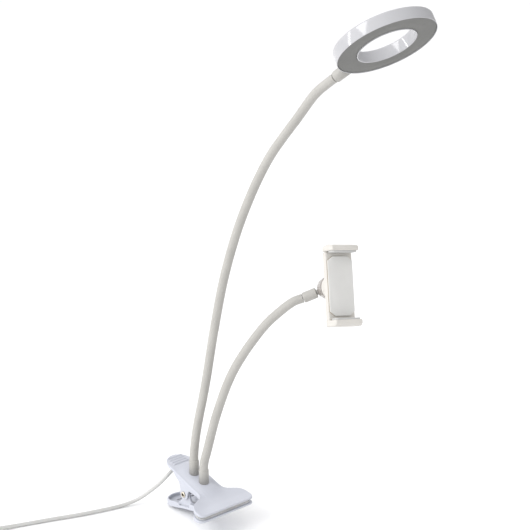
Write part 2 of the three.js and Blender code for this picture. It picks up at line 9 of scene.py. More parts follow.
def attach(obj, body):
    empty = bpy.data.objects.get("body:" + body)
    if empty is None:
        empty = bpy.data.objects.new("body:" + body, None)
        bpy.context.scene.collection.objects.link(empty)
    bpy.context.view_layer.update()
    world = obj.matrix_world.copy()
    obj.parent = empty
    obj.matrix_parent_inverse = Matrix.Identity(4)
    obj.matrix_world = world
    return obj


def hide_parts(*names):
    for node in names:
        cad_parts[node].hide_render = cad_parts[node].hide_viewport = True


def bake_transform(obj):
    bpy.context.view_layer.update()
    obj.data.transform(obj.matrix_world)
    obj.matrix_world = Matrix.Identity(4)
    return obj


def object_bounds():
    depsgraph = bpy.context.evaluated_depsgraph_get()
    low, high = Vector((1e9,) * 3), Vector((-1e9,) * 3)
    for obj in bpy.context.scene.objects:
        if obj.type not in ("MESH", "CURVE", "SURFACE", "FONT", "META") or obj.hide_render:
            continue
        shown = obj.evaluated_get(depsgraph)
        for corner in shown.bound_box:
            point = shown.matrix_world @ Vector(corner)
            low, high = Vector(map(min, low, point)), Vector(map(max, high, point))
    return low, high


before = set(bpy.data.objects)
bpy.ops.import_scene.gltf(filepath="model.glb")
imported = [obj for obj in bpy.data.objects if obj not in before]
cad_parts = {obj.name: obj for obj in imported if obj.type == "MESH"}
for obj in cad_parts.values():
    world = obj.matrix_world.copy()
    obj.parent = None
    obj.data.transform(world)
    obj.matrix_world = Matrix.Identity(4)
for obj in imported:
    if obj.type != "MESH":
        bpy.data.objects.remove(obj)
CAD_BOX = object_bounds()
MM = 0.001
FLOOR_Z = CAD_BOX[0][2]
BRIGHT_SIDE = (-0.25, -0.90, 0.35)
FLOOR_DROP = 0.0002
FUSE_VOXEL = 0.28
FUSE_ROUNDS = 5
FUSE_KEEP = 0.35


# ---------- camera, floor and light ----------
def make_camera():
    data = bpy.data.cameras.new("camera")
    data.lens = 86.06
    data.sensor_width = 36.0
    data.clip_start = 0.05
    camera = bpy.data.objects.new("camera", data)
    camera.location = (0.83525, -0.65321, 0.57501)
    camera.rotation_euler = (math.radians(90 - 17.7), 0, math.radians(49.8))
    bpy.context.scene.collection.objects.link(camera)
    bpy.context.scene.camera = camera


def make_floor():
    mesh = bpy.data.meshes.new("floor")
    half = 6.0
    corners = [(-half, -half, 0), (half, -half, 0), (half, half, 0), (-half, half, 0)]
    mesh.from_pydata(corners, [], [(0, 1, 2, 3)])
    floor = bpy.data.objects.new("floor", mesh)
    floor.location.z = FLOOR_Z - FLOOR_DROP
    bpy.context.scene.collection.objects.link(floor)
    look = bpy.data.materials.new("floor_paper")
    look.use_nodes = True
    shader = look.node_tree.nodes["Principled BSDF"]
    shader.inputs["Base Color"].default_value = (0.93, 0.93, 0.93, 1)
    shader.inputs["Roughness"].default_value = 0.9
    shader.inputs["Specular IOR Level"].default_value = 0.1
    mesh.materials.append(look)


def make_light(name, place, aim, size, power):
    data = bpy.data.lights.new(name, "AREA")
    data.shape = "RECTANGLE"
    data.size = size[0]
    data.size_y = size[1]
    data.energy = power
    light = bpy.data.objects.new(name, data)
    light.location = place
    light.rotation_euler = (Vector(aim) - Vector(place)).to_track_quat("-Z", "Y").to_euler()
    bpy.context.scene.collection.objects.link(light)


def make_world():
    """Soft studio light all round, brighter from the front left than from the back right."""
    world = bpy.data.worlds.new("studio")
    world.use_nodes = True
    tree = world.node_tree
    where = tree.nodes.new("ShaderNodeTexCoord")
    towards = tree.nodes.new("ShaderNodeVectorMath")
    towards.operation = "DOT_PRODUCT"
    towards.inputs[1].default_value = BRIGHT_SIDE
    level = tree.nodes.new("ShaderNodeMapRange")
    level.inputs["From Min"].default_value = -1
    level.inputs["From Max"].default_value = 1
    level.inputs["To Min"].default_value = 0.22
    level.inputs["To Max"].default_value = 1.68
    tree.links.new(where.outputs["Generated"], towards.inputs[0])
    tree.links.new(towards.outputs["Value"], level.inputs["Value"])
    backdrop = tree.nodes["Background"]
    backdrop.inputs["Color"].default_value = (0.99, 0.99, 1.0, 1)
    tree.links.new(level.outputs["Result"], backdrop.inputs["Strength"])
    bpy.context.scene.world = world
    bpy.context.scene.view_settings.view_transform = "Standard"


def make_lights():
    aim = (0.02, 0.04, 0.2)
    make_light("key", (-0.35, -1.5, 1.5), aim, (0.8, 0.8), 9)
    make_light("side", (1.5, 0.7, 0.9), aim, (0.7, 1.0), 1.5)
    make_light("back", (-1.0, 1.3, 1.2), aim, (0.8, 0.8), 3)
    make_light("strip", (-0.67, -0.94, 0.36), (0.11, 0.09, 0.44), (0.05, 0.9), 2.2)


# ---------- curves ----------
class Path:
    """A centripetal Catmull-Rom curve through points, walked by arc length."""

    def __init__(self, points, steps=40):
        knots = [Vector(p) for p in points]
        knots = [2 * knots[0] - knots[1], *knots, 2 * knots[-1] - knots[-2]]
        self.places = []
        for i in range(len(knots) - 3):
            self.places += [self.blend(knots[i:i + 4], j / steps) for j in range(steps)]
        self.places.append(knots[-2])
        self.runs = [0.0]
        for a, b in zip(self.places, self.places[1:]):
            self.runs.append(self.runs[-1] + (b - a).length)
        self.length = self.runs[-1]

    @staticmethod
    def blend(knots, t):
        spans = [max(1e-6, (b - a).length ** 0.5) for a, b in zip(knots, knots[1:])]
        p0, p1, p2, p3 = knots
        d0, d1, d2 = spans
        out = ((p1 - p0) / d0 - (p2 - p0) / (d0 + d1) + (p2 - p1) / d1) * d1
        into = ((p2 - p1) / d1 - (p3 - p1) / (d1 + d2) + (p3 - p2) / d2) * d1
        t2, t3 = t * t, t * t * t
        return ((2 * t3 - 3 * t2 + 1) * p1 + (t3 - 2 * t2 + t) * out
                + (3 * t2 - 2 * t3) * p2 + (t3 - t2) * into)

    def at(self, run):
        run = min(max(run, 0.0), self.length)
        low, high = 0, len(self.runs) - 1
        while high - low > 1:
            middle = (low + high) // 2
            if self.runs[middle] <= run:
                low = middle
            else:
                high = middle
        span = self.runs[high] - self.runs[low]
        share = (run - self.runs[low]) / span if span else 0
        return self.places[low].lerp(self.places[high], share)

    def heading(self, run):
        step = 0.0004
        return (self.at(run + step) - self.at(run - step)).normalized()


def mm(points):
    return [tuple(c * MM for c in p) for p in points]


# ---------- mesh pieces ----------
def add_piece(name, verts, faces, look, body, replaces=()):
    mesh = bpy.data.meshes.new(name)
    mesh.from_pydata([tuple(v) for v in verts], [], faces)
    mesh.update()
    return add_mesh(name, mesh, look, body, replaces)


def add_mesh(name, mesh, look, body, replaces=()):
    mesh.polygons.foreach_set("use_smooth", [True] * len(mesh.polygons))
    mesh.materials.clear()
    mesh.materials.append(look)
    piece = bpy.data.objects.new(name, mesh)
    bpy.context.scene.collection.objects.link(piece)
    settle(piece, body, replaces)
    return piece


def settle(piece, body, replaces):
    if body:
        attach(piece, body)
    if replaces:
        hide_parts(*replaces)


def framed(origin, face, across):
    """A matrix whose +Z is face and whose +X is nearest to across."""
    z = Vector(face).normalized()
    x = (Vector(across) - z * Vector(across).dot(z)).normalized()
    y = z.cross(x)
    place = Matrix((x, y, z)).transposed().to_4x4()
    place.translation = Vector(origin)
    return place


def fillet(points, radius, closed=True, steps=4):
    """Round the corners of a flat outline; a corner may give its own radius as a third value."""
    count = len(points)
    rounded = []
    for i, point in enumerate(points):
        here = Vector(point[:2])
        size = point[2] if len(point) > 2 else radius
        if size <= 0 or (not closed and i in (0, count - 1)):
            rounded.append(tuple(here))
            continue
        back = Vector(points[i - 1][:2]) - here
        on = Vector(points[(i + 1) % count][:2]) - here
        turn = math.pi - back.angle(on)
        if turn < 0.02:
            rounded.append(tuple(here))
            continue
        reach = min(size * math.tan(turn / 2), 0.49 * back.length, 0.49 * on.length)
        a, b = here + back.normalized() * reach, here + on.normalized() * reach
        for j in range(steps + 1):
            t = j / steps
            rounded.append(tuple((1 - t) ** 2 * a + 2 * t * (1 - t) * here + t * t * b))
    return rounded


def turned(name, profile, place, look, body, replaces=(), segments=96, closed=False,
           waist=None):
    """Turn a profile of (radius, height) millimetres about the frame's +Z; waist reshapes the radius."""
    verts, faces, rings = [], [], []
    for r, z in profile:
        if r < 1e-6:
            rings.append([len(verts)])
            verts.append(place @ Vector((0, 0, z * MM)))
            continue
        ring = []
        for i in range(segments):
            angle = 2 * math.pi * i / segments
            radius = waist(r, z, angle) if waist else r
            ring.append(len(verts))
            flat = (radius * math.cos(angle) * MM, radius * math.sin(angle) * MM)
            verts.append(place @ Vector((*flat, z * MM)))
        rings.append(ring)
    pairs = list(zip(rings, rings[1:]))
    if closed:
        pairs.append((rings[-1], rings[0]))
    for low, high in pairs:
        for i in range(segments):
            j = (i + 1) % segments
            if len(low) == 1 and len(high) == 1:
                continue
            if len(low) == 1:
                faces.append((low[0], high[j], high[i]))
            elif len(high) == 1:
                faces.append((low[i], low[j], high[0]))
            else:
                faces.append((low[i], low[j], high[j], high[i]))
    piece = add_piece(name, verts, faces, look, body, replaces)
    face_out(piece.data)
    return piece


def face_out(mesh):
    work = bmesh.new()
    work.from_mesh(mesh)
    bmesh.ops.recalc_face_normals(work, faces=work.faces)
    work.to_mesh(mesh)
    work.free()


def inset(outline, amount):
    """Move a counter-clockwise outline's points inwards along their own normals."""
    moved = []
    count = len(outline)
    for i, point in enumerate(outline):
        ahead = Vector(outline[(i + 1) % count]) - Vector(point)
        behind = Vector(point) - Vector(outline[i - 1])
        normal = Vector((-(ahead.y + behind.y), ahead.x + behind.x))
        moved.append(tuple(Vector(point) + normal.normalized() * amount))
    return moved


def slab(name, outline, z0, z1, edge, place, look, body, replaces=(), steps=4):
    """A plate of a flat outline (millimetres, counter-clockwise) with rounded edges top and bottom."""
    layers = []
    for j in range(steps + 1):
        angle = math.pi / 2 * j / steps
        layers.append((edge * (1 - math.sin(angle)), z0 + edge * (1 - math.cos(angle))))
    layers += [(gap, z0 + z1 - z) for gap, z in reversed(layers)]
    verts, faces = [], []
    count = len(outline)
    for gap, z in layers:
        verts += [place @ Vector((x * MM, y * MM, z * MM)) for x, y in inset(outline, gap)]
    for k in range(len(layers) - 1):
        for i in range(count):
            j = (i + 1) % count
            faces.append((k * count + i, k * count + j, (k + 1) * count + j, (k + 1) * count + i))
    faces.append(tuple(reversed(range(count))))
    faces.append(tuple(range((len(layers) - 1) * count, len(layers) * count)))
    return add_piece(name, verts, faces, look, body, replaces)


def box_outline(x0, x1, y0, y1, radius, steps=5):
    return fillet([(x0, y0), (x1, y0), (x1, y1), (x0, y1)], radius, steps=steps)


def tube(name, path, radius, sides, runs, look, body, replaces=()):
    """A closed tube along a path; radius is millimetres, or a function of the run."""
    verts, faces = [], []
    side = path.heading(runs[0]).orthogonal()
    for run in runs:
        place, ahead = path.at(run), path.heading(run)
        side = (side - ahead * side.dot(ahead)).normalized()
        other = ahead.cross(side)
        size = (radius(run) if callable(radius) else radius) * MM
        for i in range(sides):
            angle = 2 * math.pi * i / sides
            verts.append(place + (side * math.cos(angle) + other * math.sin(angle)) * size)
    for k in range(len(runs) - 1):
        for i in range(sides):
            j = (i + 1) % sides
            faces.append((k * sides + i, k * sides + j, (k + 1) * sides + j, (k + 1) * sides + i))
    faces.append(tuple(reversed(range(sides))))
    faces.append(tuple(range((len(runs) - 1) * sides, len(runs) * sides)))
    piece = add_piece(name, verts, faces, look, body, replaces)
    sharpen(piece.data)
    return piece


def sharpen(mesh, limit=50):
    """Keep shading crisp across folds sharper than the limit, such as a flat cap on a round side."""
    mesh.set_sharp_from_angle(angle=math.radians(limit))


def carve(piece, *cutters):
    """Cut other closed meshes out of a piece."""
    for cutter in cutters:
        cut = piece.modifiers.new("cut", "BOOLEAN")
        cut.operation = "DIFFERENCE"
        cut.solver = "EXACT"
        cut.object = cutter
    apply_all(piece)
    for cutter in cutters:
        bpy.data.objects.remove(cutter)


def apply_all(piece):
    bpy.context.view_layer.update()
    graph = bpy.context.evaluated_depsgraph_get()
    mesh = bpy.data.meshes.new_from_object(piece.evaluated_get(graph))
    piece.modifiers.clear()
    piece.data = mesh
    return mesh


def block(name, place, x0, x1, y0, y1, z0, z1):
    """A scratch box for carving, in millimetres of a frame."""
    mesh = bpy.data.meshes.new(name)
    work = bmesh.new()
    bmesh.ops.create_cube(work, size=1)
    for vert in work.verts:
        local = Vector(((x0, x1)[vert.co.x > 0], (y0, y1)[vert.co.y > 0], (z0, z1)[vert.co.z > 0]))
        vert.co = place @ (local * MM)
    work.to_mesh(mesh)
    work.free()
    piece = bpy.data.objects.new(name, mesh)
    bpy.context.scene.collection.objects.link(piece)
    return piece


def fuse(name, pieces, look, body, replaces=()):
    """Join closed pieces into one moulded shell with softened inner corners."""
    work = bmesh.new()
    for piece in pieces:
        work.from_mesh(piece.data)
    mesh = bpy.data.meshes.new(name)
    work.to_mesh(mesh)
    work.free()
    for piece in pieces:
        bpy.data.objects.remove(piece)
    return softened(name, mesh, FUSE_VOXEL, FUSE_ROUNDS, FUSE_KEEP, look, body, replaces)


def softened(name, mesh, voxel, rounds, keep, look, body, replaces, shape=None):
    """Remesh at a voxel size in millimetres, relax the edges, then keep a share of the faces."""
    piece = bpy.data.objects.new(name, mesh)
    bpy.context.scene.collection.objects.link(piece)
    remesh = piece.modifiers.new("remesh", "REMESH")
    remesh.mode = "VOXEL"
    remesh.voxel_size = voxel * MM
    relax = piece.modifiers.new("relax", "SMOOTH")
    relax.factor = 0.5
    relax.iterations = rounds
    mesh = apply_all(piece)
    if shape:
        shape(mesh)
    thin = piece.modifiers.new("thin", "DECIMATE")
    thin.ratio = keep
    mesh = apply_all(piece)
    bpy.data.objects.remove(piece)
    mesh.name = name
    return add_mesh(name, mesh, look, body, replaces)


def moulded(name, node, look, body, voxel=0.4, rounds=10, keep=0.4, shape=None):
    """A moulded shell: a CAD solid's own shape, remeshed and relaxed so its edges are rounded."""
    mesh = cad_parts[node].data.copy()
    return softened(name, mesh, voxel, rounds, keep, look, body, (node,), shape)


# ---------- materials ----------
def look(name, tint, rough, spread=0.03, swing=0.05, grain=2500, bump=0.05, metal=0.0, coat=0.0,
         specular=0.5, crevice_shade=None):
    """A moulded, coated or metal surface: broad colour drift, uneven gloss and a fine grain, with painted
    shade darkening the hollows when a shade colour is given.
    """
    material = bpy.data.materials.new(name)
    material.use_nodes = True
    tree = material.node_tree
    shader = tree.nodes["Principled BSDF"]
    shader.inputs["Metallic"].default_value = metal
    shader.inputs["Coat Weight"].default_value = coat
    shader.inputs["Coat Roughness"].default_value = 0.08
    shader.inputs["Specular IOR Level"].default_value = specular
    where = tree.nodes.new("ShaderNodeTexCoord")

    def noise_at(size, detail):
        node = tree.nodes.new("ShaderNodeTexNoise")
        node.inputs["Scale"].default_value = size
        node.inputs["Detail"].default_value = detail
        tree.links.new(where.outputs["Object"], node.inputs["Vector"])
        return node

    drift = noise_at(45, 4)
    ramp = tree.nodes.new("ShaderNodeValToRGB")
    ramp.color_ramp.elements[0].position = 0.3
    ramp.color_ramp.elements[1].position = 0.7
    ramp.color_ramp.elements[0].color = (*[c * (1 - spread) for c in tint], 1)
    ramp.color_ramp.elements[1].color = (*[min(1, c * (1 + spread)) for c in tint], 1)
    tree.links.new(drift.outputs["Fac"], ramp.inputs["Fac"])
    colour = ramp.outputs["Color"]
    # Painted shade: where pointiness is low, in hollows and creases, the colour blends towards the given dark
    # colour.
    if crevice_shade:
        hollow = tree.nodes.new("ShaderNodeNewGeometry")
        reach = tree.nodes.new("ShaderNodeMapRange")
        reach.inputs["From Min"].default_value = 0.44
        reach.inputs["From Max"].default_value = 0.5
        mix = tree.nodes.new("ShaderNodeMix")
        mix.data_type = "RGBA"
        mix.inputs["A"].default_value = (*crevice_shade, 1)
        tree.links.new(hollow.outputs["Pointiness"], reach.inputs["Value"])
        tree.links.new(reach.outputs["Result"], mix.inputs["Factor"])
        tree.links.new(colour, mix.inputs["B"])
        colour = mix.outputs["Result"]
    tree.links.new(colour, shader.inputs["Base Color"])

    patchy = noise_at(400, 3)
    gloss = tree.nodes.new("ShaderNodeMapRange")
    gloss.inputs["To Min"].default_value = max(0.02, rough - swing)
    gloss.inputs["To Max"].default_value = min(1, rough + swing)
    tree.links.new(patchy.outputs["Fac"], gloss.inputs["Value"])
    tree.links.new(gloss.outputs["Result"], shader.inputs["Roughness"])

    fine = noise_at(grain, 2)
    relief = tree.nodes.new("ShaderNodeBump")
    relief.inputs["Strength"].default_value = bump
    relief.inputs["Distance"].default_value = 0.0001
    tree.links.new(fine.outputs["Fac"], relief.inputs["Height"])
    tree.links.new(relief.outputs["Normal"], shader.inputs["Normal"])
    return material


LOOKS = {
    # clip_plastic and holder_white get painted shade in their hollows.
    "clip_plastic": look("clip_plastic", (0.50, 0.515, 0.57), 0.34, bump=0.1, crevice_shade=(0.33, 0.34, 0.37)),
    "gooseneck": look("gooseneck", (0.41, 0.40, 0.375), 0.46, spread=0.05, swing=0.08, grain=1800, bump=0.12),
    "sleeve": look("sleeve", (0.40, 0.39, 0.365), 0.36, spread=0.03, bump=0.06),
    "ring_white": look("ring_white", (0.42, 0.42, 0.435), 0.12, spread=0.015, swing=0.03, bump=0.02,
                       coat=0.6),
    # The diffuser is milky white; its dark grey base is painted shade on its face.
    "diffuser": look("diffuser", (0.150, 0.150, 0.143), 0.6, spread=0.04, swing=0.08, grain=3500, bump=0.15),
    "holder_white": look("holder_white", (0.60, 0.578, 0.54), 0.38, bump=0.1, crevice_shade=(0.42, 0.37, 0.30)),
    # The ring nut is white; its base is darkened to half the holder's white as painted shade.
    "nut_shaded_white": look("nut_shaded_white", (0.30, 0.275, 0.255), 0.15, spread=0.02, swing=0.04, bump=0.03, coat=0.35),
    "holder_pad": look("holder_pad", (0.63, 0.625, 0.605), 0.42, spread=0.03, grain=3200, bump=0.18),
    # Brown of the thin sheet under the front pad: painted shade for the gap line at the pad's edge.
    "pad_gap_shade": look("pad_gap_shade", (0.33, 0.27, 0.19), 0.7, spread=0.12, bump=0.2),
    "rubber": look("rubber", (0.52, 0.52, 0.51), 0.8, spread=0.06, grain=3000, bump=0.35, specular=0.3),
    "nickel": look("nickel", (0.66, 0.60, 0.50), 0.28, spread=0.12, swing=0.12, metal=1, bump=0.15),
    "steel": look("steel", (0.40, 0.40, 0.42), 0.32, spread=0.1, swing=0.12, metal=1, bump=0.15),
    "board": look("board", (0.84, 0.84, 0.79), 0.5, spread=0.03, bump=0.1),
    "cord": look("cord", (0.50, 0.50, 0.485), 0.46, spread=0.03, swing=0.06, bump=0.08),
    "button_grey": look("button_grey", (0.45, 0.47, 0.50), 0.5, spread=0.05, bump=0.2),
}


# ---------- spring clip ----------
PIVOT = (-42 * MM, 0, 0)
HANDLE_RIDGES = (-74, -70.5, -67, -63.5)
RIDGE_REACH = 9.5
RIDGE_HEIGHT = 0.32
CHEEK_FACE = 13.8
SPRING_RADIUS = 4
SPRING_WIRE = 0.65
LEAF_TOP = [(-80, 24), (-66, 22), (-57, 19.8), (-42.4, 15.6), (-27.3, 12), (-15, 9.2), (0, 5.4)]


def ease(t):
    t = min(1, max(0, t))
    return t * t * (3 - 2 * t)


def crown_rise(x):
    """How far the leaves swell in the middle of their width."""
    return 2.9 * ease((x + 62) / 14) * ease((-6 - x) / 16)


def leaf_top(x):
    for (x0, z0), (x1, z1) in zip(LEAF_TOP, LEAF_TOP[1:]):
        if x <= x1:
            break
    return z0 + (z1 - z0) * (x - x0) / (x1 - x0)


def raise_ridges(mesh):
    """Low rounded ridges across the handle, where the thumb presses."""
    for vert in mesh.vertices:
        x, y, z = vert.co / MM
        if z < leaf_top(x) - 1.5 or abs(y) > RIDGE_REACH or not -79 < x < -58:
            continue
        side = min(1, max(0, (RIDGE_REACH - abs(y)) / 1.5))
        for ridge in HANDLE_RIDGES:
            near = abs(x - ridge)
            if near < 1:
                vert.co.z += RIDGE_HEIGHT * MM * side * math.cos(near * math.pi / 2) ** 2


def make_clip():
    plastic = LOOKS["clip_plastic"]
    moulded("clip_top_shell", "clip_upper_half", plastic, "clip", shape=raise_ridges)
    moulded("clip_bottom_shell", "clip_lower_half", plastic, "lower_half")
    for name, node, body in (("top_jaw_rubber", "upper_jaw_pad", "clip"),
                             ("bottom_jaw_rubber", "lower_jaw_pad", "lower_half")):
        moulded(name, node, LOOKS["rubber"], body, voxel=0.25, rounds=3)

    lying = framed(PIVOT, (0, 1, 0), (1, 0, 0))
    end = CHEEK_FACE
    flange = [(1.7, end + 0.8, 0.2), (2.3, end + 0.9, 0.3), (2.9, end + 0.4, 0.25), (2.9, end, 0.1),
              (2.1, end, 0)]
    rim = fillet([(r, -z, size) for r, z, size in flange] + flange[::-1], 0.2)
    turned("rivet", rim, lying, LOOKS["nickel"], "clip", ("pivot_rivet",), 64, closed=True)
    make_torsion_spring()


def make_torsion_spring():
    """A double-ended spring: its upper leg presses on one handle and its lower leg on the other."""
    leaving = math.radians(59)
    sweep = 2 * leaving + 6 * math.pi
    steps = 80
    points = [(-64, 4.4, 17.4), (-58, 4.4, 13.7), (-52, 4.4, 10)]
    for i in range(steps + 1):
        angle = leaving - sweep * i / steps
        across, up = SPRING_RADIUS * math.cos(angle), SPRING_RADIUS * math.sin(angle)
        points.append((-42 + across, 4 - 8 * i / steps, up))
    points += [(-52, -4.4, -10), (-58, -4.4, -13.7), (-64, -4.4, -17.4)]
    path = Path(mm(points), 8)
    runs = [path.length * i / 560 for i in range(561)]
    spring = tube("spring_wire", path, SPRING_WIRE, 12, runs, LOOKS["steel"], None, ("torsion_spring",))
    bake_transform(spring)


# ---------- bases ----------
def hexagonal(across):
    """Radius of a hexagon nut by angle, cut back where the turned profile is smaller."""
    def radius(r, _z, angle):
        sector = (angle + math.pi / 6) % (math.pi / 3) - math.pi / 6
        return min(r, across / 2 / math.cos(sector))
    return radius


def hex_nut(name, place, z0, z1, across, bore, body, node):
    outer = across / 2 / math.cos(math.pi / 6)
    face = across / 2 * 0.97
    profile = [(bore, z0 + 0.2), (bore + 0.2, z0), (face, z0), (outer, z0 + 0.5), (outer, z1 - 0.5),
               (face, z1), (bore + 0.2, z1), (bore, z1 - 0.2)]
    turned(name, profile, place, LOOKS["steel"], body, (node,), 72, closed=True,
           waist=hexagonal(across))


def upright(x):
    return framed((x * MM, 0, 0), (0, 0, 1), (1, 0, 0))


def make_bases():
    for side, x, top, stud_end, nut in (("long", -42.4, 30.4, 7.6, (8.1, 11.0)),
                                        ("short", -27.3, 26.4, 4.4, (4.9, 7.6))):
        seat = leaf_top(x) + crown_rise(x) - 1.2
        profile = fillet([(0, stud_end, 0), (2.6, stud_end, 0.4), (2.6, seat, 0), (4.8, seat, 0),
                          (4.8, top + 0.9, 0.6), (4.1, top + 1.1, 0.3), (0, top + 1.1, 0)], 0.2, closed=False)
        turned(side + "_sleeve", profile, upright(x), LOOKS["sleeve"], "clip", (side + "_base_sleeve",),
               64)
        hex_nut(side + "_nut", upright(x), *nut, 8.66, 2.9, "clip", side + "_base_nut")


# ---------- goosenecks ----------
LONG_PATH = Path(mm([(-42.4, 0, 31), (-42.3, 0.3, 40), (-40.6, 2.4, 62), (-34.6, 9.2, 110),
                     (-28.8, 16.2, 166), (-21.9, 24.3, 220), (-11.8, 36.3, 272.5), (2.9, 53.6, 323.7),
                     (24.5, 69.5, 363), (42, 73.8, 385.6), (55.2, 75.85, 396.25), (62.3, 77.35, 401.5)]), 80)
SHORT_PATH = Path(mm([(-27.3, 0, 27), (-27.1, 0.4, 34), (-24.9, 2.9, 48), (-18.5, 10.4, 86.8),
                      (-8.4, 22.4, 128.9), (8.4, 42.7, 169.8), (17.2, 53.8, 184.3), (26, 64.5, 195.2),
                      (31.2, 71, 198.4)]), 80)
LONG_FLEX = [0.06, 0.25, 0.44, 0.63, 0.82]
SHORT_FLEX = [0.1, 0.34, 0.6, 0.85]
RIB_PITCH = 1.7 * MM
RIB_DEPTH = 0.22
NECK_RADIUS = 4.22


def ribbed(run):
    """Radius of the wound skin: rounded crests with narrow grooves between them."""
    return NECK_RADIUS - RIB_DEPTH * (1 - abs(math.sin(math.pi * run / RIB_PITCH)) ** 0.6)


def make_neck(side, path, flex):
    """The skin of a gooseneck, in stretches that each span one joint and meet on a rib's crest."""
    pivots = [u * path.length for u in flex]
    meets = [(int((a + b) / 2 / RIB_PITCH) + 0.5) * RIB_PITCH for a, b in zip(pivots, pivots[1:])]
    ends = [0, *meets, path.length]
    fine = RIB_PITCH / 6
    for i, pivot in enumerate(pivots):
        first, last = round(ends[i] / fine), int(ends[i + 1] / fine + 0.01)
        runs = [k * fine for k in range(first, last + 1)]
        stands_for = [f"{side}_neck_{i + 1}", f"{side}_neck_link_{i + 1}"]
        if i == len(pivots) - 1:
            stands_for.append(f"{side}_neck_{i + 2}")
        skin = tube(f"{side}_neck_skin_{i + 1}", path, ribbed, 24, runs, LOOKS["gooseneck"], None,
                    stands_for)
        middle, ahead = path.at(pivot), path.heading(pivot)
        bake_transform(skin)


# ---------- ring lamp ----------
RING_CENTRE = Vector((109.3, 87.3, 436.3)) * MM
RING_FACE = (0.602, -0.071, -0.795)
RING_ARM = (0.793, 0.167, 0.586)


def make_ring():
    lamp = framed(RING_CENTRE, RING_FACE, RING_ARM)
    body = "long_neck_length_6"
    channel = fillet([(25.1, 5.5, 0.3), (26.1, 5.45, 0.25), (26.1, 3.3, 0.1), (26.75, 3.3, 0.1),
                      (26.75, -3.85, 0.3), (41.85, -3.85, 0.3), (41.85, 3.3, 0.1), (42.9, 3.3, 0.1),
                      (42.9, 5.45, 0.15), (43.5, 5.5, 0.2), (43.5, -5.45, 1.7), (25.1, -5.45, 1.7)],
                     0.5, steps=6)
    turned("ring_shell", channel, lamp, LOOKS["ring_white"], body, ("ring_housing",), 192,
           closed=True)
    lens = fillet([(26.3, 3.6, 0.2), (42.7, 3.6, 0.2), (42.7, 4.9, 0.4), (34.3, 5.25, 8), (26.3, 4.9, 0.4)],
                  0.4, steps=5)
    turned("ring_lens", lens, lamp, LOOKS["diffuser"], body, ("ring_diffuser",), 192, closed=True)

    back = framed(RING_CENTRE, -(lamp.to_3x3() @ Vector((1, 0, 0))), (0, 0, 1))
    profile = fillet([(0, 39.7, 0), (2.4, 39.7, 0.3), (2.4, 43.0, 0), (5.15, 43.0, 0), (5.15, 58.5, 1.0),
                      (3.4, 58.8, 0.2), (0, 58.8, 0)], 0.2, closed=False)
    turned("ring_collar", profile, back, LOOKS["sleeve"], body, ("ring_sleeve",), 64)


# ---------- phone clamp ----------
BALL_CENTRE = Vector((45.7, 87.9, 208)) * MM
BALL_ARM = (-0.597, -0.698, -0.395)
CLAMP_FACE = Vector((0.923, -0.141, 0.358))
CLAMP_UP = Vector((-0.326, 0.208, 0.922))
CLAMP_HALF_WIDTH = 14.2
PLATE_HALF_WIDTH = 13.9
JAW_UNDERSIDE = 30.8
FOOT_TOP = -30
NUT_SCALLOPS = 12


def ball_arc(radius, first, last, steps):
    """Profile points of a ball; angles in degrees from the frame's +Z."""
    points = []
    for i in range(steps + 1):
        angle = math.radians(first + (last - first) * i / steps)
        points.append((radius * math.sin(angle) if 0 < angle < math.pi else 0, radius * math.cos(angle)))
    return points


def make_holder():
    stud = framed(BALL_CENTRE, BALL_ARM, (0, 0, 1))
    shank = fillet([(2.45, 5.8, 0), (2.45, 10.4, 0.5), (4.8, 10.9, 0.6), (4.8, 23.5, 0.6), (3.2, 23.7, 0.2),
                    (0, 23.7, 0)], 0.3, closed=False)
    turned("ball_stud", ball_arc(6.3, 180, 23, 24) + shank, stud, LOOKS["sleeve"], "short_neck_length_5",
           ("holder_ball_stud",), 64)

    clamp = framed(BALL_CENTRE, CLAMP_FACE, CLAMP_UP.cross(CLAMP_FACE))
    white = LOOKS["holder_white"]
    collar = fillet([(7.6, 1.06, 0), (8.8, 1.06, 0.2), (8.8, 7.0, 0.3), (11.2, 7.0, 0.4), (11.2, 15.5, 0),
                     (0, 15.5, 0)], 0.2, closed=False)
    socket = turned("clamp_socket", ball_arc(7.6, 0, 80, 16) + collar, clamp, white, "holder",
                    ("ball_socket",), 96)
    sharpen(socket.data, 40)
    flare = fillet([(7.5, -2.9, 0), (9.6, -3.0, 0.6), (11.35, 5.6, 0.5), (11.35, 6.5, 0.4), (9.1, 6.5, 0)],
                   0.3, closed=False)
    ring = [(9.1, 6.5), (9.1, 0.75)] + ball_arc(7.65, 84.3, 104, 8) + flare[1:-1]
    turned("clamp_ring_nut", ring, clamp, LOOKS["nut_shaded_white"], "ring_nut", ("ball_ring_nut",),
           144, closed=True, waist=nut_grip)
    make_clamp_body(clamp, white)


def nut_grip(r, z, angle):
    """Shallow finger scallops round the ring nut's outside."""
    if r < 9.3 or z > 5.9:
        return r
    share = max(0, math.cos(NUT_SCALLOPS * angle)) ** 3
    return r - 0.35 * share


